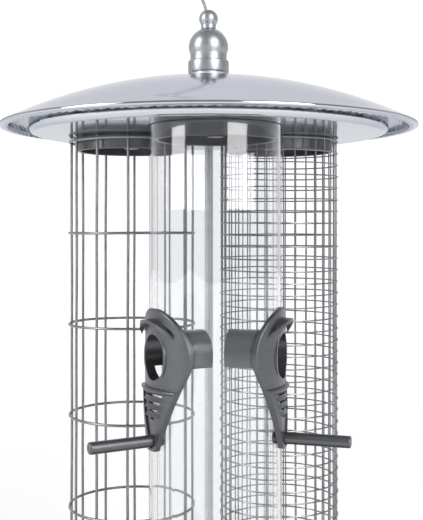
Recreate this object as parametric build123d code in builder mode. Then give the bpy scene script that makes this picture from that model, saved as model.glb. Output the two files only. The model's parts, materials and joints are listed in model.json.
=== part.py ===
"""A hanging three-tube bird feeder: seed tube, mesh tube and wire cage round one rod under a steel roof.

Millimetres. The origin is at the middle of the tray's underside, +Z runs up the rod, and the clear
seed tube faces -Y.
"""

import os
from math import atan2, cos, pi, radians, sin, sqrt, tan

from build123d import *

os.makedirs("parts", exist_ok=True)

# ---------------------------------------------------------------- driving dimensions
# rod and its fasteners
ROD_D = 5.0
THREAD_GAP = 0.05  # radial, where a nut or an insert sits on the rod
NUT_ACROSS_FLATS = 8.0
NUT_HEIGHT = 4.0
WASHER_D = 10.0
WASHER_THICK = 1.0
ROD_END_LIFT = 1.0  # rod's lower end above the ground plane
ROD_CHAMFER = 0.5
ROD_TOP_GAP = 1.0  # rod's top end below the insert's

# the three tubes
TUBE_LENGTH = 304.8
TUBE_CIRCLE_R = 46.8  # rod axis to each tube's axis
CLUSTER_TURN = 4.0  # degrees, turn of the whole cluster about the rod
SEED_TUBE_TURN = 2.1  # degrees, further turn of the seed tube about its own axis
SEED_TUBE_D = 63.0
SEED_TUBE_WALL = 1.5

CAGE_D = 68.2
CAGE_WIRE = 1.45
CAGE_BARS = 12
CAGE_FIRST_BAR = 1.5  # degrees
CAGE_RING_PITCH = 49.1
CAGE_TOP_RING_DROP = 1.5  # cage's top edge to its top ring's middle
CAGE_WELD_SINK = 0.5

MESH_D = 64.8
MESH_WIRE = 0.78
MESH_BARS = 32
MESH_PITCH = 6.35
MESH_WELD_SINK = 0.2

# roof
ROOF_D = 215.0
ROOF_RISE = 25.8  # rim's middle plane to the apex
ROOF_SHEET = 0.7
HEM_WIDTH = 4.2
HEM_DROP = 1.4  # below the rim's middle plane
HEM_EDGE = 0.6  # how far in the dome's face stops, where the sheet turns under
HEM_FOOT = 0.8  # how far in the turned edge meets the hem's flat underside
PAN_D = 185.4
PAN_DROP = 4.1  # pan's underside below the rim's middle plane
PAN_SHEET = 0.6
PAN_CORNER_R = 3.0
PAN_SEAT_GAP = 0.05  # pan's upper edge under the dome
ROOF_GAP = 0.3  # pan's underside above the tube tops
ROD_HOLE_D = 7.0  # in the roof, the pan and the seal

PLUG_PLAY = 0.4  # radial, in the seed tube's top; all three plugs are one moulding
PLUG_TAPER = 1.0  # top to bottom, of the diameter
PLUG_DEPTH = 6.9
PLUG_WALL = 1.8
PLUG_FILLET = 0.5
PLUG_HOLE_END = 0.8  # boss left under the screw's hole
PLUG_SCREW_GAP = 0.4  # screw's tip short of the hole's end
PLUG_BOSS_D = 8.0
PLUG_SCREW_D = 3.0
PLUG_SCREW_HEAD_D = 6.0
PLUG_SCREW_HEAD_HEIGHT = 1.8
SCREW_GAP = 0.05

SPACER_D = 10.0
SEAL_D = 15.6
SEAL_THICK = 1.7

# finial; heights count from its flange's underside
FINIAL_FLANGE_D = 21.4
FINIAL_FLANGE_HEIGHT = 6.1
FINIAL_FLANGE_CHAMFER = 0.7
FINIAL_BAND_D = 19.1
FINIAL_BAND_HEIGHT = 3.9
FINIAL_BELL_D = 20.7
FINIAL_BELL_RISE = 3.1  # band's top to the bell's widest
FINIAL_SHOULDER_RISE = 5.2  # from there to the shoulder
FINIAL_SHOULDER_SHARE = 0.78  # of the bell's width
FINIAL_NECK_D = 7.8
FINIAL_NECK_AT = 25.1
FINIAL_BALL_D = 9.86
FINIAL_WALL = 2.0
FINIAL_WASHER_D = 17.2
FINIAL_WASHER_THICK = 1.3
FINIAL_GAP = 0.1  # between the finial, its washer and the seal
INSERT_D = 9.0
INSERT_START = 5.0
INSERT_HEIGHT = 12.0

# hanger: a steel wire rope that leaves the ball
CABLE_D = 1.5
CABLE_HOLE_GAP = 0.15
STOP_D = 3.6
STOP_HEIGHT = 6.0
STOP_LIFT = 1.5  # above the insert
CABLE_FLARE_R = 2.2  # the ball's hole opens out to this at the top
CABLE_FLARE_DEPTH = 4.5
SLEEVE_D = 4.2
SLEEVE_HEIGHT = 9.0
SLEEVE_FILLET = 0.5
EYE_D = 15.0
EYE_WIRE = 2.4

# feeding ports of the seed tube; heights count from the hole's middle
PORT_SPREAD = 66.5  # degrees to each side of the seed tube's outward direction
UPPER_PORT_DROP = 111.5  # rim's middle plane to the upper holes' middle
PORT_STEP = 120.0  # upper pair to lower pair
PORT_FIT = 0.15  # plate's inside off the tube
PLATE_THICK = 1.65
PLATE_OUTLINE_SHARE = 0.3381  # outline's radius, of the seed tube's diameter
PLATE_OUTLINE_LIFT = 1.3
PLATE_FILLET = 0.7
TAB_HALF_WIDTH = 3.7
TAB_DROP = 42.5
HOLE_WIDTH = 18.4
HOLE_HEIGHT = 21.0
SPIGOT_WALL = 1.2
SPIGOT_DEPTH = 3.6
SPIGOT_FIT = 0.3
BAFFLE_REACH = 7.3  # the baffle's inner end, from the tube's axis
BAFFLE_FOOT = 5.2  # the baffle's open lower edge, below the hole's middle
AWNING_RISE = 17.7
AWNING_SHARE = 0.2762  # awning's half width, of the seed tube's diameter
AWNING_SIDE_DROP = 10.2
AWNING_REACH = 4.0
AWNING_THICK = 1.6
AWNING_TILT = 3.0  # degrees
AWNING_ROOT = 0.4  # how far outside the plate's inner face it starts
LEDGE_DROP = 14.8
LEDGE_REACH = 1.7
LEDGE_HEIGHT = 1.8
LEDGE_HALF_ANGLE = 40.0
LEDGE_ROOT = 0.5  # sunk into the plate
RAIL_WIDTH = 2.4
RAIL_RISE = 0.9
PERCH_RECESS = 0.6  # rails stop this far round the perch
SLOT_TOP_DROP = 17.1
SLOT_PITCH = 3.55
SLOTS = 4
SLOT_HEIGHT = 1.4
SLOT_HALF_WIDTH = 7.9  # of the top slot
SLOT_NARROWING = 0.55  # half width lost for each mm further down
LOUVRE_RISE = 0.8
LOUVRE_HEIGHT = 1.9
LOUVRE_LAP = 0.2  # under the rails

PERCH_D = 5.6
PERCH_LENGTH = 37.0
PERCH_START = 27.5  # inner end, from the seed tube's axis
PERCH_DROP = 38.1
PERCH_FIT = 0.05
PERCH_TUBE_GAP = 0.3
PERCH_FILLET = 0.8

# tray and tube base
TRAY_D = 206.0
TRAY_HEIGHT = 15.0
TRAY_SHEET = 0.8
TRAY_WALL_LEAN = 7.0
TRAY_BEAD_D = 3.2
TRAY_BOSS_R = 8.5
TRAY_BOSS_FOOT_R = 11.5
TRAY_BOSS_HEIGHT = 7.6
TRAY_DRAINS = 12
TRAY_DRAIN_D = 4.0
TRAY_DRAIN_CIRCLE_R = 89.0
BASE_FLOOR = 2.2
BASE_WEB_R = 58.0
BASE_FIT = 0.2
CUP_WALL = 2.0
CUP_HEIGHT = 15.0
CUP_FIT = 0.3

# ---------------------------------------------------------------- places worked out from them
CUP_FLOOR_Z = TRAY_SHEET + BASE_FLOOR
TUBE_TOP_Z = CUP_FLOOR_Z + TUBE_LENGTH
PAN_Z = TUBE_TOP_Z + ROOF_GAP
RIM_Z = PAN_Z + PAN_DROP
APEX_Z = RIM_Z + ROOF_RISE
ROOF_R = ROOF_D / 2
DOME_R = (ROOF_R**2 + ROOF_RISE**2) / (2 * ROOF_RISE)
FINIAL_WASHER_Z = APEX_Z + SEAL_THICK + FINIAL_GAP
FINIAL_Z = FINIAL_WASHER_Z + FINIAL_WASHER_THICK + FINIAL_GAP
ROD_TOP_Z = FINIAL_Z + INSERT_START + INSERT_HEIGHT - ROD_TOP_GAP

SEED_AZIMUTH = CLUSTER_TURN
MESH_AZIMUTH = CLUSTER_TURN + 120
CAGE_AZIMUTH = CLUSTER_TURN - 120


def toward(azimuth, distance):
    """The point at a distance from the rod's axis; azimuth 0 is -Y and grows towards +X."""
    return distance * sin(radians(azimuth)), -distance * cos(radians(azimuth))


SEED_AXIS = toward(SEED_AZIMUTH, TUBE_CIRCLE_R)
MESH_AXIS = toward(MESH_AZIMUTH, TUBE_CIRCLE_R)
CAGE_AXIS = toward(CAGE_AZIMUTH, TUBE_CIRCLE_R)


def dome_height(radius, depth=0.0):
    """The height of the dome's outer surface at a radius, or of the surface that far beneath it."""
    return APEX_Z - DOME_R + sqrt((DOME_R - depth) ** 2 - radius**2)


def finish(builder, name):
    """Labels a finished piece and writes its file."""
    builder.part.label = name
    export_step(builder.part, f"parts/{name}.step")


# ---------------------------------------------------------------- rod and fasteners
with BuildPart() as centre_rod:
    with BuildSketch(Plane.XY.offset(ROD_END_LIFT)):
        Circle(ROD_D / 2)
    extrude(amount=ROD_TOP_Z - ROD_END_LIFT)
    chamfer(centre_rod.edges(), ROD_CHAMFER)
finish(centre_rod, "centre_rod")

NUT_BORE_R = ROD_D / 2 + THREAD_GAP
UNDER_TRAY_Z = TRAY_BOSS_HEIGHT - TRAY_SHEET
HUB_TOP_Z = TRAY_BOSS_HEIGHT + BASE_FLOOR

with BuildPart() as rod_nuts:
    for bottom in (UNDER_TRAY_Z - WASHER_THICK - NUT_HEIGHT, HUB_TOP_Z + WASHER_THICK):
        with BuildSketch(Plane.XY.offset(bottom)):
            RegularPolygon(NUT_ACROSS_FLATS / 2, 6, major_radius=False)
            Circle(NUT_BORE_R, mode=Mode.SUBTRACT)
        extrude(amount=NUT_HEIGHT)
finish(rod_nuts, "rod_nuts")

with BuildPart() as rod_washers:
    for bottom in (UNDER_TRAY_Z - WASHER_THICK, HUB_TOP_Z):
        with BuildSketch(Plane.XY.offset(bottom)):
            Circle(WASHER_D / 2)
            Circle(NUT_BORE_R, mode=Mode.SUBTRACT)
        extrude(amount=WASHER_THICK)
finish(rod_washers, "rod_washers")

# ---------------------------------------------------------------- seed tray
TRAY_R = TRAY_D / 2
TRAY_FLOOR_R = TRAY_R - TRAY_BEAD_D / 2 - TRAY_WALL_LEAN
BEAD_MIDDLE = (TRAY_R - TRAY_BEAD_D / 2, TRAY_HEIGHT - TRAY_BEAD_D / 2)

with BuildPart() as seed_tray:
    with BuildSketch(Plane.XZ):
        with BuildLine():
            Polyline(
                (ROD_HOLE_D / 2, UNDER_TRAY_Z),
                (TRAY_BOSS_R - TRAY_SHEET, UNDER_TRAY_Z),
                (TRAY_BOSS_FOOT_R - TRAY_SHEET, 0),
                (TRAY_FLOOR_R, 0),
                (BEAD_MIDDLE[0] + TRAY_SHEET / 2, BEAD_MIDDLE[1]),
                (BEAD_MIDDLE[0] - TRAY_SHEET / 2, BEAD_MIDDLE[1]),
                (TRAY_FLOOR_R - TRAY_SHEET / 2, TRAY_SHEET),
                (TRAY_BOSS_FOOT_R, TRAY_SHEET),
                (TRAY_BOSS_R, TRAY_BOSS_HEIGHT),
                (ROD_HOLE_D / 2, TRAY_BOSS_HEIGHT),
                close=True,
            )
        make_face()
        with Locations(BEAD_MIDDLE):
            Circle(TRAY_BEAD_D / 2)
    revolve(axis=Axis.Z)
    with BuildSketch(Plane.XY):
        with PolarLocations(TRAY_DRAIN_CIRCLE_R, TRAY_DRAINS):
            Circle(TRAY_DRAIN_D / 2)
    extrude(amount=TRAY_SHEET, mode=Mode.SUBTRACT)
finish(seed_tray, "seed_tray")

# ---------------------------------------------------------------- tube base with its three cups
CUPS = [
    (SEED_AXIS, SEED_TUBE_D / 2 + CUP_FIT),
    (MESH_AXIS, MESH_D / 2 + CUP_FIT),
    (CAGE_AXIS, CAGE_D / 2 + CUP_FIT),
]

with BuildPart() as tube_base:
    with BuildSketch(Plane.XY.offset(TRAY_SHEET)):
        Circle(BASE_WEB_R)
    extrude(amount=BASE_FLOOR)
    for axis_xy, inner_r in CUPS:
        with BuildSketch(Plane.XY.offset(TRAY_SHEET)):
            with Locations(axis_xy):
                Circle(inner_r + CUP_WALL)
        extrude(amount=CUP_HEIGHT - TRAY_SHEET)
    for axis_xy, inner_r in CUPS:
        with BuildSketch(Plane.XY.offset(CUP_FLOOR_Z)):
            with Locations(axis_xy):
                Circle(inner_r)
        extrude(amount=CUP_HEIGHT, mode=Mode.SUBTRACT)
    with BuildSketch(Plane.XZ):
        Polygon(
            (0, TRAY_SHEET),
            (TRAY_BOSS_FOOT_R + BASE_FLOOR, TRAY_SHEET),
            (TRAY_BOSS_FOOT_R + BASE_FLOOR, CUP_FLOOR_Z),
            (TRAY_BOSS_R + BASE_FLOOR, HUB_TOP_Z),
            (0, HUB_TOP_Z),
            align=None,
        )
    revolve(axis=Axis.Z)
    with BuildSketch(Plane.XZ):
        Polygon(
            (0, 0),
            (TRAY_BOSS_FOOT_R + BASE_FIT, 0),
            (TRAY_BOSS_FOOT_R + BASE_FIT, TRAY_SHEET),
            (TRAY_BOSS_R + BASE_FIT, TRAY_BOSS_HEIGHT),
            (0, TRAY_BOSS_HEIGHT),
            align=None,
        )
    revolve(axis=Axis.Z, mode=Mode.SUBTRACT)
    with BuildSketch(Plane.XY):
        Circle(ROD_HOLE_D / 2)
    extrude(amount=HUB_TOP_Z + 1, mode=Mode.SUBTRACT)
finish(tube_base, "tube_base")

# ---------------------------------------------------------------- seed tube
SEED_R = SEED_TUBE_D / 2
PLATE_IN_R = SEED_R + PORT_FIT
PLATE_OUT_R = PLATE_IN_R + PLATE_THICK
PLATE_OUTLINE_R = PLATE_OUTLINE_SHARE * SEED_TUBE_D
AWNING_HALF_WIDTH = AWNING_SHARE * SEED_TUBE_D
HOLE_R = HOLE_WIDTH / 2
SPIGOT_R = HOLE_R + SPIGOT_WALL
UPPER_HOLE_Z = RIM_Z - UPPER_PORT_DROP
LOWER_HOLE_Z = UPPER_HOLE_Z - PORT_STEP
LEFT_AZIMUTH = SEED_AZIMUTH + SEED_TUBE_TURN - PORT_SPREAD
RIGHT_AZIMUTH = SEED_AZIMUTH + SEED_TUBE_TURN + PORT_SPREAD
PORTS = {
    "upper_left": (LEFT_AZIMUTH, UPPER_HOLE_Z),
    "upper_right": (RIGHT_AZIMUTH, UPPER_HOLE_Z),
    "lower_left": (LEFT_AZIMUTH, LOWER_HOLE_Z),
    "lower_right": (RIGHT_AZIMUTH, LOWER_HOLE_Z),
}


def port_plane(azimuth, height):
    """The plane on the seed tube's axis at a port, with its normal pointing out of the port and y up."""
    out_x, out_y = toward(azimuth, 1)
    return Plane(origin=(*SEED_AXIS, height), x_dir=(-out_y, out_x, 0), z_dir=(out_x, out_y, 0))


with BuildPart() as seed_tube:
    with BuildSketch(Plane.XY.offset(CUP_FLOOR_Z)):
        with Locations(SEED_AXIS):
            Circle(SEED_R)
            Circle(SEED_R - SEED_TUBE_WALL, mode=Mode.SUBTRACT)
    extrude(amount=TUBE_LENGTH)
    for azimuth, hole_z in PORTS.values():
        with BuildSketch(port_plane(azimuth, hole_z)):
            SlotOverall(
                HOLE_HEIGHT + 2 * (SPIGOT_WALL + SPIGOT_FIT),
                2 * (SPIGOT_R + SPIGOT_FIT),
                rotation=90,
            )
            with Locations((0, -PERCH_DROP)):
                Circle(PERCH_D / 2 + PERCH_TUBE_GAP)
        extrude(amount=SEED_R + 1, mode=Mode.SUBTRACT)
finish(seed_tube, "seed_tube")

# ---------------------------------------------------------------- feeding ports
# One port stands with the seed tube's axis on Z, facing +X, and its hole's middle at height 0.
OUTLINE_Z = PLATE_OUTLINE_LIFT
TANGENT_RUN = (TAB_HALF_WIDTH, OUTLINE_Z + TAB_DROP)  # tab's corner, across and below the outline's middle
TANGENT_DIST = sqrt(TANGENT_RUN[0] ** 2 + TANGENT_RUN[1] ** 2)
TANGENT_ANGLE = atan2(-TANGENT_RUN[1], TANGENT_RUN[0]) + atan2(
    sqrt(TANGENT_DIST**2 - PLATE_OUTLINE_R**2), PLATE_OUTLINE_R
)
FACING = Plane(origin=(0, 0, 0), x_dir=(0, 1, 0), z_dir=(1, 0, 0))
SLOT_DROPS = [SLOT_TOP_DROP + SLOT_PITCH * k for k in range(SLOTS)]


def plate_outline(inset=0.0):
    """The plate's outline, or one inside it: a round head that runs down to a narrow tab."""
    radius = PLATE_OUTLINE_R - inset
    across, down = radius * cos(TANGENT_ANGLE), OUTLINE_Z + radius * sin(TANGENT_ANGLE)
    foot = max(TAB_HALF_WIDTH - inset / cos(TANGENT_ANGLE), TAB_HALF_WIDTH / 3)
    bottom = -TAB_DROP + inset
    with BuildSketch() as outline:
        with BuildLine():
            ThreePointArc((across, down), (0, OUTLINE_Z + radius), (-across, down))
            Polyline((-across, down), (-foot, bottom), (foot, bottom), (across, down))
        make_face()
        fillet(outline.vertices().group_by(Axis.Y)[0], foot / 4)
    return outline.sketch


def plate_shell(rise, low, high):
    """The curved sheet that hugs the seed tube, before its outline is cut."""
    with BuildPart() as shell:
        with BuildSketch(Plane.XY.offset(low)):
            Circle(PLATE_OUT_R + rise)
            Circle(PLATE_IN_R, mode=Mode.SUBTRACT)
        extrude(amount=high - low)
        with BuildSketch(FACING):
            add(plate_outline())
        extrude(amount=2 * SEED_R, mode=Mode.INTERSECT)
    return shell.part


def on_outer(edge):
    """Whether an edge lies on the plate's outer face."""
    point = edge.position_at(0.5)
    return abs(sqrt(point.X**2 + point.Y**2) - PLATE_OUT_R) < 0.01


def feeding_port():
    """One moulding: plate, spigot, baffle, awning, ledge and slotted tongue."""
    with BuildPart() as rails:
        add(plate_shell(RAIL_RISE, -TAB_DROP - 1, -LEDGE_DROP))
        with BuildSketch(FACING):
            add(plate_outline(RAIL_WIDTH))
            with Locations((0, -PERCH_DROP)):
                Circle(PERCH_D / 2 + PERCH_RECESS)
        extrude(amount=2 * SEED_R, mode=Mode.SUBTRACT)
    with BuildPart() as louvres:
        for drop in SLOT_DROPS:
            low = -drop + SLOT_HEIGHT / 2
            with BuildSketch(Plane.XZ):
                Polygon(
                    (PLATE_IN_R, low),
                    (PLATE_OUT_R + LOUVRE_RISE, low),
                    (PLATE_OUT_R, low + LOUVRE_HEIGHT),
                    (PLATE_IN_R, low + LOUVRE_HEIGHT),
                    align=None,
                )
            revolve(axis=Axis.Z)
        with BuildSketch(FACING):
            add(plate_outline(RAIL_WIDTH - LOUVRE_LAP))
        extrude(amount=2 * SEED_R, mode=Mode.INTERSECT)
    with BuildPart() as ledge:
        root, nose = PLATE_OUT_R - LEDGE_ROOT, PLATE_OUT_R + LEDGE_REACH - LEDGE_HEIGHT / 2
        low, high = -LEDGE_DROP - LEDGE_HEIGHT / 2, -LEDGE_DROP + LEDGE_HEIGHT / 2
        with BuildSketch(Plane.XZ.rotated((0, 0, -LEDGE_HALF_ANGLE))):
            with BuildLine():
                Line((root, low), (nose, low))
                ThreePointArc((nose, low), (PLATE_OUT_R + LEDGE_REACH, -LEDGE_DROP), (nose, high))
                Polyline((nose, high), (root, high), (root, low))
            make_face()
        revolve(axis=Axis.Z, revolution_arc=2 * LEDGE_HALF_ANGLE)
        with BuildSketch(FACING):
            add(plate_outline())
        extrude(amount=2 * SEED_R, mode=Mode.INTERSECT)
    with BuildPart() as awning:
        arch_r = (AWNING_HALF_WIDTH**2 + AWNING_SIDE_DROP**2) / (2 * AWNING_SIDE_DROP)
        start = PLATE_IN_R + AWNING_ROOT
        lean = Plane(
            origin=(start, 0, AWNING_RISE + (PLATE_OUT_R - start) * tan(radians(AWNING_TILT))),
            x_dir=(0, 1, 0),
            z_dir=(cos(radians(AWNING_TILT)), 0, -sin(radians(AWNING_TILT))),
        )
        with BuildSketch(lean):
            with Locations((0, -arch_r)):
                Circle(arch_r)
                Circle(arch_r - AWNING_THICK, mode=Mode.SUBTRACT)
                with Locations((0, -AWNING_SIDE_DROP)):
                    Rectangle(4 * arch_r, 2 * arch_r, mode=Mode.SUBTRACT)
        front = PLATE_OUT_R + AWNING_REACH
        extrude(amount=(front - start) / cos(radians(AWNING_TILT)) + AWNING_THICK)
        side = sqrt(PLATE_OUT_R**2 - AWNING_HALF_WIDTH**2)
        bow_r = (AWNING_HALF_WIDTH**2 + (front - side) ** 2) / (2 * (front - side))
        with BuildSketch(Plane.XY.offset(-AWNING_RISE)):
            with Locations((front - bow_r, 0)):
                Circle(bow_r)
        extrude(amount=3 * AWNING_RISE, mode=Mode.INTERSECT)
        with BuildSketch(Plane.XY.offset(-AWNING_RISE)):
            Circle(start)
        extrude(amount=3 * AWNING_RISE, mode=Mode.SUBTRACT)
    with BuildPart() as port:
        add(plate_shell(0, -TAB_DROP - 1, PLATE_OUTLINE_R + 1))
        fillet(port.edges().filter_by(on_outer), PLATE_FILLET)
        add(rails.part)
        add(louvres.part)
        add(ledge.part)
        add(awning.part)
        with BuildSketch(FACING.offset(SEED_R - SPIGOT_DEPTH)):
            SlotOverall(HOLE_HEIGHT + 2 * SPIGOT_WALL, 2 * SPIGOT_R, rotation=90)
        extrude(amount=SPIGOT_DEPTH + PORT_FIT + PLATE_THICK / 2)
        with BuildSketch(FACING.offset(BAFFLE_REACH)):
            SlotOverall(HOLE_HEIGHT + 2 * SPIGOT_WALL, 2 * SPIGOT_R, rotation=90)
            with Locations((0, -BAFFLE_FOOT - SPIGOT_R)):
                Rectangle(4 * SPIGOT_R, 2 * SPIGOT_R, mode=Mode.SUBTRACT)
        extrude(amount=SEED_R - SPIGOT_DEPTH / 2 - BAFFLE_REACH)
        with BuildSketch(FACING.offset(BAFFLE_REACH - 1)):
            SlotOverall(HOLE_HEIGHT, 2 * HOLE_R, rotation=90)
        extrude(amount=2 * SEED_R - BAFFLE_REACH, mode=Mode.SUBTRACT)
        for drop in SLOT_DROPS:
            half_width = SLOT_HALF_WIDTH - SLOT_NARROWING * (drop - SLOT_DROPS[0])
            with BuildSketch(FACING):
                with Locations((0, -drop)):
                    Rectangle(2 * half_width, SLOT_HEIGHT)
            extrude(amount=2 * SEED_R, mode=Mode.SUBTRACT)
        with BuildSketch(FACING):
            with Locations((0, -PERCH_DROP)):
                Circle(PERCH_D / 2 + PERCH_FIT)
        extrude(amount=2 * SEED_R, mode=Mode.SUBTRACT)
    return port.part


PORT_SHAPE = feeding_port()

for name, (azimuth, hole_z) in PORTS.items():
    with BuildPart() as port_in_place:
        add(PORT_SHAPE.moved(Location((*SEED_AXIS, hole_z), (0, 0, azimuth - 90))))
    finish(port_in_place, f"port_{name}")

    with BuildPart() as perch:
        with BuildSketch(port_plane(azimuth, hole_z - PERCH_DROP).offset(PERCH_START)):
            Circle(PERCH_D / 2)
        extrude(amount=PERCH_LENGTH)
        fillet(perch.edges().filter_by(GeomType.CIRCLE), PERCH_FILLET)
    finish(perch, f"perch_{name}")


# ---------------------------------------------------------------- welded wire tubes
def wire_bars(axis_xy, outer_d, wire, sink, count, first):
    """The upright wires of a welded tube, inside its rings."""
    bar_r = outer_d / 2 - 1.5 * wire + sink
    with BuildPart() as bars:
        with BuildSketch(Plane.XY.offset(CUP_FLOOR_Z)):
            with Locations(axis_xy):
                with PolarLocations(bar_r, count, start_angle=first - 90):
                    Circle(wire / 2)
        extrude(amount=TUBE_LENGTH)
    return bars


def wire_rings(axis_xy, outer_d, wire, heights):
    """The rings of a welded tube."""
    with BuildPart() as rings:
        with Locations([(*axis_xy, height) for height in heights]):
            Torus(outer_d / 2 - wire / 2, wire / 2)
    return rings


cage_bars = wire_bars(CAGE_AXIS, CAGE_D, CAGE_WIRE, CAGE_WELD_SINK, CAGE_BARS, CAGE_FIRST_BAR)
finish(cage_bars, "cage_bars")

CAGE_TOP_RING_Z = TUBE_TOP_Z - CAGE_TOP_RING_DROP
CAGE_RINGS = int((CAGE_TOP_RING_Z - CUP_FLOOR_Z - CAGE_WIRE / 2) // CAGE_RING_PITCH) + 1
cage_rings = wire_rings(
    CAGE_AXIS,
    CAGE_D,
    CAGE_WIRE,
    [CAGE_TOP_RING_Z - CAGE_RING_PITCH * k for k in range(CAGE_RINGS)],
)
finish(cage_rings, "cage_rings")

mesh_bars = wire_bars(MESH_AXIS, MESH_D, MESH_WIRE, MESH_WELD_SINK, MESH_BARS, 0)
finish(mesh_bars, "mesh_bars")

MESH_TOP_RING_Z = TUBE_TOP_Z - MESH_WIRE
MESH_RINGS = int((MESH_TOP_RING_Z - CUP_FLOOR_Z - MESH_WIRE / 2) // MESH_PITCH) + 1
MESH_RING_HEIGHTS = [MESH_TOP_RING_Z - MESH_PITCH * k for k in range(MESH_RINGS)]
UPPER_MESH_RINGS = MESH_RINGS // 2

mesh_rings_upper = wire_rings(MESH_AXIS, MESH_D, MESH_WIRE, MESH_RING_HEIGHTS[:UPPER_MESH_RINGS])
finish(mesh_rings_upper, "mesh_rings_upper")

mesh_rings_lower = wire_rings(MESH_AXIS, MESH_D, MESH_WIRE, MESH_RING_HEIGHTS[UPPER_MESH_RINGS:])
finish(mesh_rings_lower, "mesh_rings_lower")

# ---------------------------------------------------------------- roof
HEM_IN_R = ROOF_R - HEM_WIDTH
with BuildPart() as dome_roof:
    with BuildSketch(Plane.XZ):
        with BuildLine():
            ThreePointArc(
                (ROD_HOLE_D / 2, dome_height(ROD_HOLE_D / 2)),
                (ROOF_R / 2, dome_height(ROOF_R / 2)),
                (ROOF_R - HEM_EDGE, dome_height(ROOF_R - HEM_EDGE)),
            )
            Polyline(
                (ROOF_R - HEM_EDGE, dome_height(ROOF_R - HEM_EDGE)),
                (ROOF_R, RIM_Z - HEM_DROP / 2),
                (ROOF_R - HEM_FOOT, RIM_Z - HEM_DROP),
                (HEM_IN_R, RIM_Z - HEM_DROP),
                (HEM_IN_R, dome_height(HEM_IN_R, ROOF_SHEET)),
            )
            ThreePointArc(
                (HEM_IN_R, dome_height(HEM_IN_R, ROOF_SHEET)),
                (ROOF_R / 2, dome_height(ROOF_R / 2, ROOF_SHEET)),
                (ROD_HOLE_D / 2, dome_height(ROD_HOLE_D / 2, ROOF_SHEET)),
            )
            Line(
                (ROD_HOLE_D / 2, dome_height(ROD_HOLE_D / 2, ROOF_SHEET)),
                (ROD_HOLE_D / 2, dome_height(ROD_HOLE_D / 2)),
            )
        make_face()
    revolve(axis=Axis.Z)
finish(dome_roof, "dome_roof")

PAN_R = PAN_D / 2
PAN_TOP_Z = dome_height(PAN_R, ROOF_SHEET) - PAN_SEAT_GAP
PAN_FLOOR_TOP_Z = PAN_Z + PAN_SHEET
PLUG_AXES = [SEED_AXIS, MESH_AXIS, CAGE_AXIS]

with BuildPart() as roof_pan:
    with BuildSketch(Plane.XZ):
        with BuildLine():
            FilletPolyline(
                (ROD_HOLE_D / 2, PAN_Z),
                (PAN_R, PAN_Z),
                (PAN_R, PAN_TOP_Z),
                radius=PAN_CORNER_R,
            )
            Line((PAN_R, PAN_TOP_Z), (PAN_R - PAN_SHEET, PAN_TOP_Z))
            FilletPolyline(
                (PAN_R - PAN_SHEET, PAN_TOP_Z),
                (PAN_R - PAN_SHEET, PAN_FLOOR_TOP_Z),
                (ROD_HOLE_D / 2, PAN_FLOOR_TOP_Z),
                radius=PAN_CORNER_R - PAN_SHEET,
            )
            Line((ROD_HOLE_D / 2, PAN_FLOOR_TOP_Z), (ROD_HOLE_D / 2, PAN_Z))
        make_face()
    revolve(axis=Axis.Z)
    with BuildSketch(Plane.XY.offset(PAN_Z)):
        with Locations(*PLUG_AXES):
            Circle(PLUG_SCREW_D / 2 + SCREW_GAP)
    extrude(amount=PAN_SHEET, mode=Mode.SUBTRACT)
finish(roof_pan, "roof_pan")

with BuildPart() as roof_spacer:
    with BuildSketch(Plane.XY.offset(PAN_FLOOR_TOP_Z)):
        Circle(SPACER_D / 2)
        Circle(ROD_HOLE_D / 2, mode=Mode.SUBTRACT)
    extrude(amount=dome_height(SPACER_D / 2, ROOF_SHEET) - PAN_FLOOR_TOP_Z)
finish(roof_spacer, "roof_spacer")

with BuildPart() as apex_seal:
    with BuildSketch(Plane.XY.offset(APEX_Z)):
        Circle(SEAL_D / 2)
        Circle(ROD_HOLE_D / 2, mode=Mode.SUBTRACT)
    extrude(amount=SEAL_THICK)
finish(apex_seal, "apex_seal")

PLUG_TOP_D = SEED_TUBE_D - 2 * (SEED_TUBE_WALL + PLUG_PLAY)
PLUG_BOTTOM_D = PLUG_TOP_D - PLUG_TAPER
PLUG_LEAN = PLUG_TAPER / 2
PLUG_HOLE_DEPTH = PLUG_DEPTH - PLUG_WALL - PLUG_HOLE_END
for name, axis_xy in {"seed": SEED_AXIS, "mesh": MESH_AXIS, "cage": CAGE_AXIS}.items():
    with BuildPart() as plug:
        with BuildSketch(Plane.XZ):
            Polygon(
                (0, 0),
                (PLUG_TOP_D / 2, 0),
                (PLUG_BOTTOM_D / 2, -PLUG_DEPTH),
                (PLUG_BOTTOM_D / 2 - PLUG_WALL, -PLUG_DEPTH),
                (PLUG_TOP_D / 2 - PLUG_WALL - PLUG_LEAN * PLUG_WALL / PLUG_DEPTH, -PLUG_WALL),
                (PLUG_BOSS_D / 2, -PLUG_WALL),
                (PLUG_BOSS_D / 2, -PLUG_DEPTH + PLUG_WALL),
                (0, -PLUG_DEPTH + PLUG_WALL),
                align=None,
            )
        revolve(axis=Axis.Z)
        with BuildSketch(Plane.XY):
            Circle(PLUG_SCREW_D / 2 + SCREW_GAP)
        extrude(amount=-PLUG_HOLE_DEPTH, mode=Mode.SUBTRACT)
        top_rim = plug.edges().filter_by(GeomType.CIRCLE).group_by(Axis.Z)[0]
        fillet(top_rim, PLUG_FILLET)
    with BuildPart() as plug_in_place:
        add(plug.part.moved(Location((*axis_xy, PAN_Z))))
    finish(plug_in_place, f"plug_{name}")

with BuildPart() as plug_screws:
    for axis_xy in PLUG_AXES:
        with BuildSketch(Plane.XY.offset(PAN_Z - PLUG_HOLE_DEPTH + PLUG_SCREW_GAP)):
            with Locations(axis_xy):
                Circle(PLUG_SCREW_D / 2)
        extrude(amount=PAN_SHEET + PLUG_HOLE_DEPTH - PLUG_SCREW_GAP)
        with BuildSketch(Plane.XY.offset(PAN_FLOOR_TOP_Z)):
            with Locations(axis_xy):
                Circle(PLUG_SCREW_HEAD_D / 2)
        extrude(amount=PLUG_SCREW_HEAD_HEIGHT)
finish(plug_screws, "plug_screws")

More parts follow.
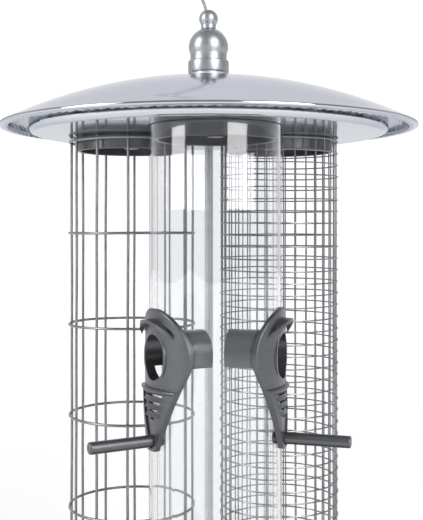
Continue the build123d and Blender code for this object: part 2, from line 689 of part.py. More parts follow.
# ---------------------------------------------------------------- finial
with BuildPart() as finial_washer:
    with BuildSketch(Plane.XY.offset(FINIAL_WASHER_Z)):
        Circle(FINIAL_WASHER_D / 2)
        Circle(ROD_D / 2 + THREAD_GAP, mode=Mode.SUBTRACT)
    extrude(amount=FINIAL_WASHER_THICK)
finish(finial_washer, "finial_washer")

BAND_TOP = FINIAL_FLANGE_HEIGHT + FINIAL_BAND_HEIGHT
BELL_WIDEST = BAND_TOP + FINIAL_BELL_RISE
BALL_R = FINIAL_BALL_D / 2
NECK_R = FINIAL_NECK_D / 2
BALL_MIDDLE = FINIAL_NECK_AT + sqrt(BALL_R**2 - NECK_R**2)
FINIAL_TOP = BALL_MIDDLE + BALL_R
STOP_START = INSERT_START + INSERT_HEIGHT + STOP_LIFT
CABLE_HOLE_R = CABLE_D / 2 + CABLE_HOLE_GAP
STOP_ROOM_R = STOP_D / 2 + CABLE_HOLE_GAP

with BuildPart() as finial:
    with BuildSketch(Plane.XZ):
        with BuildLine():
            Polyline(
                (0, 0),
                (FINIAL_FLANGE_D / 2, 0),
                (FINIAL_FLANGE_D / 2, FINIAL_FLANGE_HEIGHT - FINIAL_FLANGE_CHAMFER),
                (FINIAL_FLANGE_D / 2 - FINIAL_FLANGE_CHAMFER, FINIAL_FLANGE_HEIGHT),
                (FINIAL_BAND_D / 2, FINIAL_FLANGE_HEIGHT),
                (FINIAL_BAND_D / 2, BAND_TOP),
            )
            Spline(
                (FINIAL_BAND_D / 2, BAND_TOP),
                (FINIAL_BELL_D / 2, BELL_WIDEST),
                (FINIAL_BELL_D / 2 * FINIAL_SHOULDER_SHARE, BELL_WIDEST + FINIAL_SHOULDER_RISE),
                (NECK_R, FINIAL_NECK_AT),
                tangents=[(0.6, 1), (-0.1, 1)],
            )
            ThreePointArc(
                (NECK_R, FINIAL_NECK_AT),
                (BALL_R, BALL_MIDDLE),
                (0, FINIAL_TOP),
            )
            Line((0, FINIAL_TOP), (0, 0))
        make_face()
    revolve(axis=Axis.Z)
    with BuildSketch(Plane.XZ):
        Polygon(
            (0, 0),
            (FINIAL_BAND_D / 2 - FINIAL_WALL, 0),
            (FINIAL_BAND_D / 2 - FINIAL_WALL, INSERT_START),
            (INSERT_D / 2 + THREAD_GAP, INSERT_START),
            (INSERT_D / 2 + THREAD_GAP, INSERT_START + INSERT_HEIGHT),
            (STOP_ROOM_R, INSERT_START + INSERT_HEIGHT),
            (STOP_ROOM_R, STOP_START + STOP_HEIGHT),
            (CABLE_HOLE_R, STOP_START + STOP_HEIGHT),
            (CABLE_HOLE_R, FINIAL_TOP - CABLE_FLARE_DEPTH),
            (CABLE_FLARE_R, FINIAL_TOP),
            (0, FINIAL_TOP),
            align=None,
        )
    revolve(axis=Axis.Z, mode=Mode.SUBTRACT)
with BuildPart() as finial_in_place:
    add(finial.part.moved(Location((0, 0, FINIAL_Z))))
finish(finial_in_place, "finial")

with BuildPart() as finial_insert:
    with BuildSketch(Plane.XY.offset(FINIAL_Z + INSERT_START)):
        Circle(INSERT_D / 2)
        Circle(ROD_D / 2 + THREAD_GAP, mode=Mode.SUBTRACT)
    extrude(amount=INSERT_HEIGHT)
finish(finial_insert, "finial_insert")

# ---------------------------------------------------------------- hanger
BALL_TOP_Z = FINIAL_Z + FINIAL_TOP
ROUTE = [(0, 0, -12.5), (0, 0, -2.7), (-4.4, 0, 9.0), (-11.5, 2.0, 20.0), (-21.5, 5.0, 29.0)]
CABLE_ROUTE = [Vector(x, y, z + BALL_TOP_Z) for x, y, z in ROUTE]


def corner_radii(points):
    """The largest tangent arc that each corner's two runs leave room for."""
    radii = []
    for before, here, after in zip(points, points[1:], points[2:]):
        shorter = min((here - before).length, (after - here).length)
        half_turn = radians((here - before).get_angle(after - here)) / 2
        radii.append(0.45 * shorter / tan(half_turn))
    return radii


CABLE_RADII = corner_radii(CABLE_ROUTE)
print("cable radii", [round(radius, 1) for radius in CABLE_RADII])

with BuildPart() as hanger_cable:
    with BuildLine() as cable_path:
        FilletPolyline(*CABLE_ROUTE, radius=CABLE_RADII)
    with BuildSketch(Plane(origin=CABLE_ROUTE[0], z_dir=(0, 0, 1))):
        Circle(CABLE_D / 2)
    sweep(path=cable_path.line)
finish(hanger_cable, "hanger_cable")
tube_volume = pi * CABLE_D**2 / 4 * cable_path.wires()[0].length
print("cable length", round(cable_path.wires()[0].length, 1))
print("cable volume share", round(hanger_cable.part.volume / tube_volume, 4))

with BuildPart() as cable_stop:
    with BuildSketch(Plane.XY.offset(FINIAL_Z + STOP_START)):
        Circle(STOP_D / 2)
        Circle(CABLE_D / 2, mode=Mode.SUBTRACT)
    extrude(amount=STOP_HEIGHT)
finish(cable_stop, "cable_stop")

EYE_AXIS = (CABLE_ROUTE[-1] - CABLE_ROUTE[-2]).normalized()
EYE_PLANE = Plane(origin=CABLE_ROUTE[-1], x_dir=(0, 1, 0), z_dir=EYE_AXIS)
EYE_RING_R = (EYE_D - EYE_WIRE) / 2
EYE_MIDDLE = CABLE_ROUTE[-1] + EYE_AXIS * (SLEEVE_HEIGHT + EYE_RING_R)

with BuildPart() as eye_fitting:
    with BuildSketch(EYE_PLANE):
        Circle(SLEEVE_D / 2)
    extrude(amount=SLEEVE_HEIGHT)
    fillet(eye_fitting.edges().filter_by(GeomType.CIRCLE), SLEEVE_FILLET)
    with Locations(Plane(origin=EYE_MIDDLE, z_dir=EYE_PLANE.x_dir)):
        Torus(EYE_RING_R, EYE_WIRE / 2)
finish(eye_fitting, "eye_fitting")
print("eye middle", EYE_MIDDLE)
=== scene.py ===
"""The looks of a hanging three-tube bird feeder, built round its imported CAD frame.

Metres, in the frame's own axes: the tray stands on z = 0, the rod runs up +Z and the seed tube faces -Y.
"""

import json
import math
import random

import bmesh
import bpy
from mathutils import Matrix, Vector


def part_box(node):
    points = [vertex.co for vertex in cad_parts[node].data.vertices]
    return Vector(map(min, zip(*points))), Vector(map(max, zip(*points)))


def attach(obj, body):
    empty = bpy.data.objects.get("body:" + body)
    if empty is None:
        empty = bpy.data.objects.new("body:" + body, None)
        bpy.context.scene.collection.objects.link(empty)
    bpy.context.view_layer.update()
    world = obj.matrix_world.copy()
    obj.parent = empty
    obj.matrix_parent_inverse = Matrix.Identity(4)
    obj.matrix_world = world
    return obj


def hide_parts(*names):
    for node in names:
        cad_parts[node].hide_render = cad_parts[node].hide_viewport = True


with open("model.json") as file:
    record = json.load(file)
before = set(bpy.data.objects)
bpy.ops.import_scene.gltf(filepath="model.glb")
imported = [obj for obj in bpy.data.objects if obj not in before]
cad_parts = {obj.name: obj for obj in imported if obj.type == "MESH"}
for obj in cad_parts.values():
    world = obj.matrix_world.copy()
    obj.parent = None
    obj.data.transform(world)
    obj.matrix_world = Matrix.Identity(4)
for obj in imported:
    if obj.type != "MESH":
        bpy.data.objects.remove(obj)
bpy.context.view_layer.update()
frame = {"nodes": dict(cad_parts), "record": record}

MM = 0.001
random.seed(7)

# ---------------------------------------------------------------- places read from the frame
roof_low, roof_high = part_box("dome_roof")
rod_low, rod_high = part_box("centre_rod")
finial_low, finial_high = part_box("finial")

HEM_DROP = 1.4 * MM
ROOF_R = roof_high.x
APEX_Z = roof_high.z
RIM_Z = roof_low.z + HEM_DROP
BALL_TOP_Z = finial_high.z


# ---------------------------------------------------------------- modelling helpers
def only(piece):
    """Selects one piece and makes it the active one."""
    bpy.ops.object.select_all(action="DESELECT")
    piece.select_set(True)
    bpy.context.view_layer.objects.active = piece
    return piece


def added(name):
    """Names the piece that an operator has just added, with its place moved into its mesh."""
    piece = only(bpy.context.object)
    piece.name = piece.data.name = name
    bpy.ops.object.transform_apply(location=True, rotation=True, scale=True)
    return piece


def smooth(piece, angle):
    """Shades a piece smooth, but for the edges that turn more sharply than an angle in degrees."""
    only(piece)
    bpy.ops.object.shade_smooth_by_angle(angle=math.radians(angle))
    return piece


def modified(piece, kind, **settings):
    """Gives a piece one modifier and applies it."""
    only(piece)
    modifier = piece.modifiers.new(kind.title(), kind)
    for key, value in settings.items():
        setattr(modifier, key, value)
    bpy.ops.object.modifier_apply(modifier=modifier.name)
    return piece


def joined(piece, other):
    """Joins another piece into the first."""
    only(piece)
    other.select_set(True)
    bpy.ops.object.join()
    return piece


def finished(piece, finish, body, *replaced):
    """Gives a piece its finish and its body, and hides the CAD nodes it stands for."""
    piece.data.materials.clear()
    piece.data.materials.append(FINISHES[finish])
    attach(piece, body)
    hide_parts(*replaced)
    return piece


def outline(name, points, closed):
    """A piece of edges alone, through points of (radius, height) beside an upright axis at x = 0."""
    bpy.ops.mesh.primitive_plane_add(size=MM)
    piece = added(name)
    shape = bmesh.new()
    corners = [shape.verts.new((r, 0, z)) for r, z in points]
    for a, b in zip(corners, corners[1:]):
        shape.edges.new((a, b))
    if closed:
        shape.edges.new((corners[-1], corners[0]))
    shape.to_mesh(piece.data)
    shape.free()
    return piece


def spun(name, profile, steps, closed=True):
    """A piece turned on a lathe: a profile of (radius, height) points spun round the upright axis."""
    piece = only(outline(name, profile, closed))
    bpy.ops.object.mode_set(mode="EDIT")
    bpy.ops.mesh.select_all(action="SELECT")
    bpy.ops.mesh.spin(steps=steps, angle=math.tau, center=(0, 0, 0), axis=(0, 0, 1))
    bpy.ops.mesh.select_all(action="SELECT")
    bpy.ops.mesh.remove_doubles(threshold=MM / 1000)
    bpy.ops.mesh.normals_make_consistent(inside=False)
    bpy.ops.object.mode_set(mode="OBJECT")
    return piece


def arc(middle, radius, start, end, steps):
    """Points of an arc in a profile; angles in degrees from the outward radius."""
    angles = [math.radians(start + (end - start) * k / steps) for k in range(steps + 1)]
    return [(middle[0] + radius * math.cos(a), middle[1] + radius * math.sin(a)) for a in angles]


# ---------------------------------------------------------------- shader helpers
class Value:
    """A socket that carries a number, so that shader maths reads as plain arithmetic."""

    def __init__(self, shader, socket):
        self.shader = shader
        self.socket = socket

    def maths(self, operation, *terms):
        node = self.shader.add("ShaderNodeMath", {"operation": operation}, *terms)
        return Value(self.shader, node.outputs[0])

    def __add__(self, other):
        return self.maths("ADD", self, other)

    def __sub__(self, other):
        return self.maths("SUBTRACT", self, other)

    def __rsub__(self, other):
        return self.maths("SUBTRACT", other, self)

    def __mul__(self, other):
        return self.maths("MULTIPLY", self, other)

    def root(self):
        return self.maths("SQRT", self)

    def size(self):
        return self.maths("ABSOLUTE", self)

    def above(self, low, high):
        """0 below low, 1 above high and a smooth step between them."""
        settings = {"interpolation_type": "SMOOTHSTEP"}
        node = self.shader.add("ShaderNodeMapRange", settings, self, low, high)
        return Value(self.shader, node.outputs[0])

    __radd__ = __add__
    __rmul__ = __mul__


class Finish:
    """One material: a Principled surface whose fixed values sit on its own sockets."""

    def __init__(self, name, **fixed):
        self.material = bpy.data.materials.new(name)
        self.material.use_nodes = True
        self.tree = self.material.node_tree
        self.surface = self.tree.nodes["Principled BSDF"]
        for socket, value in fixed.items():
            self.surface.inputs[socket.replace("_", " ")].default_value = value
        self.place = self.add("ShaderNodeTexCoord", {}).outputs["Object"]

    def add(self, kind, settings, *values, **named):
        """Adds a node with its settings, then its sockets' values or links."""
        node = self.tree.nodes.new(kind)
        for key, value in settings.items():
            setattr(node, key, value)
        for socket, value in zip(node.inputs, values):
            self.feed(socket, value)
        for key, value in named.items():
            self.feed(node.inputs[key], value)
        return node

    def feed(self, socket, value):
        """Links a socket to a value, or sets it where the value is a plain number or colour."""
        value = getattr(value, "socket", value)
        if isinstance(value, bpy.types.NodeSocket):
            self.tree.links.new(value, socket)
        else:
            socket.default_value = value

    def vary(self, socket, value):
        """Lets one of the surface's sockets change over the surface."""
        self.feed(self.surface.inputs[socket], value)

    def noise(self, scale, detail=2.0, place=None):
        """A soft cloud of numbers round a half."""
        node = self.add("ShaderNodeTexNoise", {}, Vector=place or self.place, Scale=scale, Detail=detail)
        return Value(self, node.outputs[0])

    def bands(self, along, scale):
        """Numbers that change along one measure only, such as a radius."""
        node = self.add("ShaderNodeTexNoise", {"noise_dimensions": "1D"}, W=along, Scale=scale)
        return Value(self, node.outputs[0])

    def cells(self, scale):
        """A random number for each small cell, for flakes and grains."""
        node = self.add("ShaderNodeTexVoronoi", {}, Vector=self.place, Scale=scale)
        return Value(self, self.add("ShaderNodeSeparateColor", {}, node.outputs["Color"]).outputs[0])

    def parts(self):
        """The place's x, y and z as three numbers."""
        node = self.add("ShaderNodeSeparateXYZ", {}, self.place)
        return [Value(self, out) for out in node.outputs]

    def from_axis(self):
        """How far the place is from the upright axis."""
        x, y, _ = self.parts()
        return (x * x + y * y).root()

    def stretched(self, x, y, z):
        """The place scaled by its own factor along each axis."""
        return self.add("ShaderNodeVectorMath", {"operation": "MULTIPLY"}, self.place, (x, y, z)).outputs[0]

    def blend(self, share, low, high):
        """A colour between two."""
        node = self.add("ShaderNodeMix", {"data_type": "RGBA"})
        self.feed(node.inputs["Factor"], share)
        self.feed(node.inputs[6], (*low, 1.0) if isinstance(low, tuple) else low)
        self.feed(node.inputs[7], (*high, 1.0))
        return node.outputs[2]

    def bump(self, height, distance, strength=1.0):
        node = self.add("ShaderNodeBump", {}, Strength=strength, Distance=distance, Height=height)
        self.vary("Normal", node.outputs[0])


# ---------------------------------------------------------------- finishes
def polished_steel():
    """Spun stainless sheet, buffed bright, with faint turning marks and a soft orange peel."""
    finish = Finish("polished_steel", Metallic=1.0, Specular_Tint=(0.70, 0.71, 0.74, 1.0))
    rings = finish.bands(finish.from_axis(), 2600.0)
    cloud = finish.noise(24.0, 3.0)
    finish.vary("Base Color", finish.blend(cloud, (0.56, 0.58, 0.625), (0.62, 0.64, 0.68)))
    finish.vary("Roughness", 0.055 + rings * 0.05 + cloud * 0.05)
    finish.bump(rings * 0.12 + finish.noise(90.0, 1.0), 0.00006)
    return finish.material


def zinc_steel():
    """Bright zinc plate with a cool cast and a fine crystal grain."""
    finish = Finish("zinc_steel", Metallic=0.35)
    cloud = finish.noise(160.0, 3.0)
    grains = finish.cells(1500.0)
    brightness = cloud * 0.5 + grains * 0.5
    finish.vary("Base Color", finish.blend(brightness, (0.60, 0.63, 0.65), (0.88, 0.90, 0.92)))
    finish.vary("Roughness", 0.26 + finish.noise(700.0) * 0.16)
    return finish.material


def wire():
    """Galvanised wire: dull grey zinc, clouded in patches, with a finely drawn skin."""
    finish = Finish("wire", Metallic=0.95)
    cloud = finish.noise(220.0, 3.0)
    finish.vary("Base Color", finish.blend(cloud, (0.19, 0.195, 0.205), (0.33, 0.335, 0.35)))
    finish.vary("Roughness", 0.24 + finish.noise(1500.0) * 0.16)
    finish.bump(finish.noise(2600.0, 2.0), 0.00005)
    return finish.material


def dark_plastic():
    """Dark grey moulded plastic with fine metallic flakes and a satin skin."""
    finish = Finish("dark_plastic", Metallic=0.78, Specular_IOR_Level=0.5)
    flakes = finish.cells(6000.0).above(0.6, 1.0)
    cloud = finish.noise(60.0, 2.0)
    base = finish.blend(cloud, (0.098, 0.101, 0.106), (0.118, 0.121, 0.127))
    finish.vary("Base Color", finish.blend(flakes * 0.3, base, (0.30, 0.305, 0.315)))
    finish.vary("Roughness", 0.30 + finish.noise(400.0) * 0.08 - flakes * 0.05)
    finish.bump(finish.noise(1900.0, 3.0), 0.00004, 0.5)
    return finish.material


def silver_plastic():
    """Plastic sprayed with a silver paint full of fine flakes."""
    finish = Finish("silver_plastic", Metallic=0.9, Coat_Weight=0.12, Coat_Roughness=0.15)
    flakes = finish.cells(6500.0)
    finish.vary("Base Color", finish.blend(flakes, (0.34, 0.355, 0.37), (0.42, 0.435, 0.45)))
    finish.vary("Roughness", 0.34 + flakes * 0.06)
    finish.bump(finish.noise(1200.0, 2.0), 0.00004, 0.4)
    return finish.material


def clear_plastic():
    """Clear tube, faintly cool, with a few hairline marks from handling."""
    finish = Finish("clear_plastic", IOR=1.49, Transmission_Weight=1.0)
    rubs = finish.noise(1.0, 4.0, finish.stretched(900.0, 900.0, 60.0)).above(0.62, 0.8)
    finish.vary("Base Color", finish.blend(rubs, (0.93, 0.936, 0.945), (0.88, 0.886, 0.896)))
    finish.vary("Roughness", 0.004 + rubs * 0.03)
    return finish.material


def plain(name, low, high, roughness, metallic=0.0):
    """A small part's finish: two close colours in a fine grain."""
    finish = Finish(name, Metallic=metallic)
    grains = finish.noise(900.0, 3.0)
    finish.vary("Base Color", finish.blend(grains, low, high))
    finish.vary("Roughness", roughness + grains * 0.12)
    finish.bump(grains, 0.00004)
    return finish.material


FINISHES = {
    "polished_steel": polished_steel(),
    "zinc_steel": zinc_steel(),
    "wire": wire(),
    "dark_plastic": dark_plastic(),
    "silver_plastic": silver_plastic(),
    "clear_plastic": clear_plastic(),
    "brass": plain("brass", (0.62, 0.44, 0.19), (0.72, 0.53, 0.26), 0.22, metallic=1.0),
    "white_plastic": plain("white_plastic", (0.70, 0.70, 0.69), (0.78, 0.78, 0.77), 0.35),
    "seal_rubber": plain("seal_rubber", (0.018, 0.018, 0.019), (0.035, 0.035, 0.036), 0.55),
    "rope_steel": plain("rope_steel", (0.22, 0.225, 0.23), (0.34, 0.345, 0.35), 0.25, metallic=1.0),
    "aluminium": plain("aluminium", (0.60, 0.61, 0.62), (0.72, 0.73, 0.74), 0.3, metallic=1.0),
    "eye_steel": plain("eye_steel", (0.48, 0.49, 0.50), (0.62, 0.63, 0.64), 0.2, metallic=1.0),
}

for part in frame["record"]["subparts"]:
    node = frame["nodes"][part["node"]]
    node.data.materials.clear()
    node.data.materials.append(FINISHES[part["material_slot"]])


# ---------------------------------------------------------------- camera
CAMERA_AWAY = 497 * MM
CAMERA_BELOW_RIM = 52.3 * MM

bpy.ops.object.camera_add(location=(0, -CAMERA_AWAY, RIM_Z - CAMERA_BELOW_RIM), rotation=(math.pi / 2, 0, 0))
camera = bpy.context.object
camera.data.lens = 65.7
camera.data.shift_x = 0.0058
camera.data.shift_y = -0.0615
bpy.context.scene.camera = camera


# ---------------------------------------------------------------- hanger rope
# The route's points from the stop inside the ball to the sleeve, counted from the ball's top, in millimetres.
ROPE_ROUTE = [(0, 0, -12.5), (0, 0, -2.7), (-4.4, 0, 9.0), (-11.5, 2.0, 20.0), (-21.5, 5.0, 29.0)]
ROPE_D = 1.5 * MM
ROPE_STRANDS = 6
ROPE_LAY = 9 * MM  # one full turn of a strand
STRAND_SIDES = 8


def rope_line():
    """Points along the rope's middle, read from the route's NURBS curve."""
    bpy.ops.curve.primitive_nurbs_path_add()
    guide = bpy.context.object
    guide.data.splines.clear()
    line = guide.data.splines.new("NURBS")
    line.points.add(len(ROPE_ROUTE) - 1)
    for point, (x, y, z) in zip(line.points, ROPE_ROUTE):
        point.co = (x * MM, y * MM, z * MM + BALL_TOP_Z, 1)
    line.order_u = 3
    line.use_endpoint_u = True
    line.resolution_u = 40
    guide.data.bevel_depth = 0
    flat = bpy.data.meshes.new_from_object(guide)
    points = [vertex.co.copy() for vertex in flat.vertices]
    bpy.data.objects.remove(guide)
    return points


def directions(points):
    """For each point of a run: the way ahead and two ways across it that never twist round it."""
    across = Vector((1, 0, 0))
    last = len(points) - 1
    for k in range(len(points)):
        ahead = (points[min(k + 1, last)] - points[max(k - 1, 0)]).normalized()
        across = (across - ahead * across.dot(ahead)).normalized()
        yield across, ahead.cross(across)


def swept(name, runs, radius, sides):
    """Round wires in one piece, each along its own run of points, with closed ends."""
    bpy.ops.mesh.primitive_plane_add(size=MM)
    piece = added(name)
    shape = bmesh.new()
    turns = [math.tau * side / sides for side in range(sides)]
    for points in runs:
        before = None
        for point, (across, other) in zip(points, directions(points)):
            places = [point + radius * (across * math.cos(a) + other * math.sin(a)) for a in turns]
            ring = [shape.verts.new(place) for place in places]
            if before:
                for s in range(sides):
                    t = (s + 1) % sides
                    shape.faces.new((before[s], before[t], ring[t], ring[s]))
            else:
                shape.faces.new(ring[::-1])
            before = ring
        shape.faces.new(before)
    shape.to_mesh(piece.data)
    shape.free()
    return smooth(piece, 50)


def rope():
    """A steel core with six strands laid round it."""
    line = rope_line()
    strand_r = ROPE_D / 6
    runs = [line]
    for strand in range(ROPE_STRANDS):
        turn = math.tau * strand / ROPE_STRANDS
        run = []
        for k, (across, other) in enumerate(directions(line)):
            if k:
                turn += math.tau * (line[k] - line[k - 1]).length / ROPE_LAY
            run.append(line[k] + 2 * strand_r * (across * math.cos(turn) + other * math.sin(turn)))
        runs.append(run)
    piece = swept("hanger_rope", runs, strand_r, STRAND_SIDES)
    finished(piece, "rope_steel", "finial_knob", "hanger_cable")


rope()


# ---------------------------------------------------------------- roof
HEM_WIDTH = 4.2 * MM
HEM_BEAD_R = 0.9 * MM
HEM_PLEATS = 124
HEM_SLANT = 2.6  # radians of a pleat, across the hem
# The hem's start, counted from the rim, and its end, from its inner edge and lowest height, in millimetres.
HEM_FROM_RIM = [(-1.7, -1.1), (-2.4, -1.35)]
HEM_FROM_FOLD = [(1.0, 0.1), (0.3, 0), (-0.15, 0.25), (0, 0.7)]
PLEATS_IN = 1.5 * MM  # the pleats start this far in from the rim
SHEET = 0.7 * MM
ROD_HOLE_R = 3.5 * MM
DOME_STEPS = 1236


def dome_sheet():
    """The spun dome, its edge rolled under and crimped into fine pleats."""
    rise = APEX_Z - RIM_Z
    dome_r = (ROOF_R**2 + rise**2) / (2 * rise)
    under_r = dome_r - SHEET
    middle = (0, APEX_Z - dome_r)
    hem_in = ROOF_R - HEM_WIDTH
    hem_z = RIM_Z - HEM_DROP - 0.2 * MM
    lean = math.degrees(math.asin(ROOF_R / dome_r))
    tuck = math.degrees(math.asin((hem_in + 1.0 * MM) / under_r))
    hole_over = math.degrees(math.asin(ROD_HOLE_R / dome_r))
    hole_under = math.degrees(math.asin(ROD_HOLE_R / under_r))
    profile = arc(middle, dome_r, 90 - hole_over, 90 - lean + 0.45, 18)
    profile += arc((ROOF_R - HEM_BEAD_R, RIM_Z - 0.35 * MM), HEM_BEAD_R, 90 - lean, -95, 8)
    profile += [(ROOF_R + r * MM, RIM_Z + z * MM) for r, z in HEM_FROM_RIM]
    profile += [(hem_in + r * MM, hem_z + z * MM) for r, z in HEM_FROM_FOLD]
    profile += arc(middle, under_r, 90 - tuck, 90 - hole_under, 12)
    piece = spun("dome_sheet", profile, DOME_STEPS)
    pleats_r = ROOF_R - PLEATS_IN
    for vertex in piece.data.vertices:
        radius = math.hypot(vertex.co.x, vertex.co.y)
        if hem_in - 1 * MM < radius < pleats_r and vertex.co.z < hem_z + 0.8 * MM:
            turn = math.atan2(vertex.co.y, vertex.co.x)
            share = (pleats_r - radius) / (HEM_WIDTH - 1.0 * MM)
            uneven = 0.9 * math.sin(19 * turn) + 0.6 * math.sin(43 * turn + 1)
            pleat = ((HEM_PLEATS * turn + uneven + HEM_SLANT * share) / math.tau) % 1
            slow = math.sin(31 * turn) * math.sin(7 * turn + 2)
            vertex.co.z += share * (0.9 * abs(pleat - 0.3) - 0.3 + 0.12 * slow) * MM
            grow = 1 + share * (0.3 * pleat - 0.15 + 0.2 * slow) * MM / radius
            vertex.co.x *= grow
            vertex.co.y *= grow
    finished(smooth(piece, 40), "polished_steel", "roof", "dome_roof")


dome_sheet()


# ---------------------------------------------------------------- finial
# Radii, and heights above the flange's underside, in millimetres.
FLANGE_R = 10.7
FLANGE_TOP = 6.1
BAND_R = 9.55
BAND_TOP = 10.0
BELL_R = 10.35
BELL_Z = 13.1
NECK_R = 3.9
BALL_R = 4.93
BALL_Z = 28.12
SKIRT_R = 7.55  # the hollow under the flange
INSERT_R = 4.55
INSERT_Z = 5.0
INSERT_TOP = 17.0
STOP_ROOM_R = 1.95
STOP_ROOM_TOP = 24.5
ROPE_HOLE_R = 0.9


def finial_knob():
    """The moulded finial: flange, band, a bell that is half a ball, a short neck and a ball on top."""
    shoulder = math.degrees(math.acos(NECK_R / BELL_R))
    nape = -math.degrees(math.acos(NECK_R / BALL_R))
    shoulder_z = BELL_Z + BELL_R * math.sin(math.radians(shoulder))
    top = BALL_Z + BALL_R
    profile = [(SKIRT_R, 0.25), (SKIRT_R + 0.25, 0)]
    profile += [(FLANGE_R - 0.4, 0), (FLANGE_R - 0.1, 0.12), (FLANGE_R, 0.4)]
    profile += arc((FLANGE_R - 0.7, FLANGE_TOP - 0.7), 0.7, 0, 90, 6)
    profile += [(BAND_R + 0.15, FLANGE_TOP), (BAND_R, FLANGE_TOP + 0.15), (BAND_R, BAND_TOP - 0.5)]
    profile += [(BAND_R + 0.12, BAND_TOP), (BAND_R + 0.45, BAND_TOP + 1.0), (BELL_R - 0.1, BAND_TOP + 2.0)]
    profile += arc((0, BELL_Z), BELL_R, 0, shoulder - 2, 24)
    profile += [(NECK_R + 0.1, shoulder_z + 0.2), (NECK_R, BALL_Z - 4.4), (NECK_R, BALL_Z - 3.6)]
    profile += arc((0, BALL_Z), BALL_R, nape + 2, 63.5, 18)
    profile += [(1.6, top - 1.4), (ROPE_HOLE_R, top - 4.5), (ROPE_HOLE_R, STOP_ROOM_TOP)]
    profile += [(STOP_ROOM_R, STOP_ROOM_TOP), (STOP_ROOM_R, INSERT_TOP), (INSERT_R, INSERT_TOP)]
    profile += [(INSERT_R, INSERT_Z), (SKIRT_R, INSERT_Z)]
    piece = spun("finial_knob", [(r * MM, z * MM + finial_low.z) for r, z in profile], 96)
    finished(smooth(piece, 38), "silver_plastic", "finial_knob", "finial")


finial_knob()


# ---------------------------------------------------------------- threaded rod
THREAD_PITCH = 0.8 * MM
THREAD_DEPTH = 0.42 * MM
THREAD_STEPS = 16


def threaded_rod():
    """The full-length threaded rod: one thread pitch carried round and up by a screw modifier."""
    top_r = rod_high.x
    root_r = top_r - THREAD_DEPTH
    start = rod_low.z + THREAD_PITCH
    tooth = [(root_r, 0.0), (root_r, 0.1), (top_r, 0.45), (top_r, 0.6), (root_r, 1.0)]
    piece = outline("threaded_rod", [(r, start + share * THREAD_PITCH) for r, share in tooth], closed=False)
    modified(
        piece,
        "SCREW",
        iterations=int((rod_high.z - rod_low.z) / THREAD_PITCH) - 2,
        screw_offset=THREAD_PITCH,
        steps=THREAD_STEPS,
        render_steps=THREAD_STEPS,
        use_merge_vertices=True,
        merge_threshold=MM / 1000,
        use_normal_calculate=True,
    )
    core = root_r + 0.05 * MM
    ends = [(0, rod_low.z), (core - 0.4 * MM, rod_low.z), (core, rod_low.z + 0.5 * MM)]
    ends += [(core, rod_high.z - 0.5 * MM), (core - 0.4 * MM, rod_high.z), (0, rod_high.z)]
    joined(piece, spun("rod_shank", ends, 24, closed=False))
    finished(smooth(piece, 30), "zinc_steel", "frame", "centre_rod")


threaded_rod()


# ---------------------------------------------------------------- welded wire tubes
RING_STEPS = 96
BAR_STEP = 9 * MM


def bent_bar(x, y, low, high, sway):
    """Points up one upright wire that was never quite straight."""
    phases = [random.uniform(0, math.tau) for _ in range(4)]
    points = []
    count = math.ceil((high - low) / BAR_STEP)
    for k in range(count + 1):
        z = low + (high - low) * k / count
        along = (z - low) / (90 * MM)
        dx = sway * (math.sin(along * 1.7 + phases[0]) + 0.4 * math.sin(along * 7 + phases[1]))
        dy = sway * (math.sin(along * 1.3 + phases[2]) + 0.4 * math.sin(along * 6 + phases[3]))
        points.append(Vector((x + dx, y + dy, z)))
    return points


def bent_ring(centre, radius, z, bars, first, sway, crimp):
    """Points round one ring, crimped a little at each weld and closed by a last point on the first."""
    phases = [random.uniform(0, math.tau) for _ in range(3)]
    points = []
    for k in range(RING_STEPS + 1):
        turn = first + math.tau * k / RING_STEPS
        ring_r = radius + sway * math.sin(2 * turn + phases[0]) - crimp * math.cos(bars * (turn - first))
        lift = sway * (math.sin(turn + phases[1]) + 0.5 * math.sin(3 * turn + phases[2]))
        x = centre[0] + ring_r * math.cos(turn)
        y = centre[1] + ring_r * math.sin(turn)
        points.append(Vector((x, y, z + lift)))
    return points


def welds(name, places, size, levels):
    """Small round nuggets where the wires are welded."""
    bpy.ops.mesh.primitive_plane_add(size=MM)
    piece = added(name)
    shape = bmesh.new()
    for place in places:
        bmesh.ops.create_icosphere(shape, subdivisions=levels, radius=size, matrix=Matrix.Translation(place))
    shape.to_mesh(piece.data)
    shape.free()
    return smooth(piece, 60)


def wire_tube(name, nodes, wire_d, sink, bars, first, pitch, sway, crimp, sides, nugget):
    """A welded wire tube: upright wires inside, rings outside and a nugget at each crossing.

    nodes are the CAD's uprights and then its rings, with the topmost rings first.
    """
    bars_low, bars_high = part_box(nodes[0])
    rings_low, rings_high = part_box(nodes[1])
    centre = ((rings_low.x + rings_high.x) / 2, (rings_low.y + rings_high.y) / 2)
    ring_r = (rings_high.x - rings_low.x) / 2 - wire_d / 2
    bar_r = ring_r - wire_d + sink
    weld_r = (ring_r + bar_r) / 2
    top = rings_high.z - wire_d / 2
    bottom = bars_low.z + wire_d / 2
    heights = [top - pitch * k for k in range(int((top - bottom) / pitch) + 1)]
    runs = []
    places = []
    for bar in range(bars):
        turn = first + math.tau * bar / bars
        out = Vector((math.cos(turn), math.sin(turn), 0))
        x, y = centre[0] + bar_r * out.x, centre[1] + bar_r * out.y
        runs.append(bent_bar(x, y, bars_low.z, bars_high.z, sway))
        places += [Vector((centre[0] + weld_r * out.x, centre[1] + weld_r * out.y, z)) for z in heights]
    runs += [bent_ring(centre, ring_r, z, bars, first, sway, crimp) for z in heights]
    piece = joined(swept(name, runs, wire_d / 2, sides), welds(f"{name}_welds", places, *nugget))
    finished(piece, "wire", "frame", *nodes)


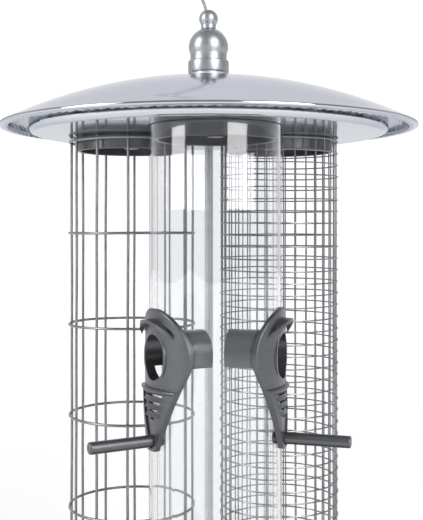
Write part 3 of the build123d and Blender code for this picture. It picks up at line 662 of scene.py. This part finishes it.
wire_tube(
    "cage_tube",
    ("cage_bars", "cage_rings"),
    wire_d=1.45 * MM,
    sink=0.5 * MM,
    bars=12,
    first=math.radians(1.5 - 90),
    pitch=49.1 * MM,
    sway=0.16 * MM,
    crimp=0.05 * MM,
    sides=10,
    nugget=(0.85 * MM, 2),
)
wire_tube(
    "mesh_tube",
    ("mesh_bars", "mesh_rings_upper", "mesh_rings_lower"),
    wire_d=0.78 * MM,
    sink=0.2 * MM,
    bars=32,
    first=math.radians(-90),
    pitch=6.35 * MM,
    sway=0.15 * MM,
    crimp=0.1 * MM,
    sides=6,
    nugget=(0.46 * MM, 1),
)


# ---------------------------------------------------------------- studio
FLOOR_SIZE = 8
BOX_AWAY = 1.5
BOX_FOOT = 0.2975
BOX_HEIGHT = 1.5
BOX_GLOW = 6.5
BOXES = (("left", -65, 0.68), ("right", 36.5, 0.90))  # name, degrees round from the front, width


class Surround(Finish):
    """The light from all round, as one shader over directions."""

    def __init__(self, name):
        world = bpy.data.worlds.new(name)
        bpy.context.scene.world = world
        world.use_nodes = True
        self.tree = world.node_tree
        self.surface = self.tree.nodes["Background"]
        self.surface.inputs["Strength"].default_value = 1.0
        self.place = self.add("ShaderNodeTexCoord", {}).outputs["Generated"]


def studio_floor():
    """A glowing pale floor, darker round the feeder."""
    bpy.ops.mesh.primitive_plane_add(size=FLOOR_SIZE)
    floor = added("studio_floor")
    white = (1.0, 1.0, 1.0, 1.0)
    ground = Finish("studio_floor", Roughness=0.9, Emission_Strength=0.6, Emission_Color=white)
    far = ground.from_axis().above(0.3, 2.6)
    brightness = far + ground.noise(3.0) * 0.04
    ground.vary("Base Color", ground.blend(brightness, (0.42, 0.42, 0.42), (0.92, 0.92, 0.92)))
    floor.data.materials.append(ground.material)


def studio_surround():
    """A white backdrop behind the feeder in a dim room."""
    surround = Surround("studio_surround")
    x, y, z = surround.parts()
    behind = y.above(-0.1, 0.5)
    middle = 1.0 - 0.55 * x.size().above(0.225, 0.65)
    below_ceiling = 1.0 - 0.8 * z.above(0.74, 0.9)
    light = behind * middle * below_ceiling
    surround.vary("Color", surround.blend(light, (0.30, 0.305, 0.315), (1.08, 1.08, 1.09)))


def soft_box(name, azimuth, width):
    """A tall soft box in front of the feeder, turned to face it."""
    turn = math.radians(azimuth)
    spot = Vector((BOX_AWAY * math.sin(turn), -BOX_AWAY * math.cos(turn), BOX_FOOT + BOX_HEIGHT / 2))
    bpy.ops.object.light_add(type="AREA", location=spot)
    lamp = bpy.context.object
    lamp.name = f"softbox_{name}"
    lamp.data.shape = "RECTANGLE"
    lamp.data.size = width
    lamp.data.size_y = BOX_HEIGHT
    lamp.data.energy = BOX_GLOW * math.pi * width * BOX_HEIGHT
    lamp.rotation_euler = Vector((-spot.x, -spot.y, 0)).to_track_quat("-Z", "Y").to_euler()


studio_floor()
studio_surround()
for box_name, box_azimuth, box_width in BOXES:
    soft_box(box_name, box_azimuth, box_width)
bpy.context.scene.view_settings.view_transform = "Standard"
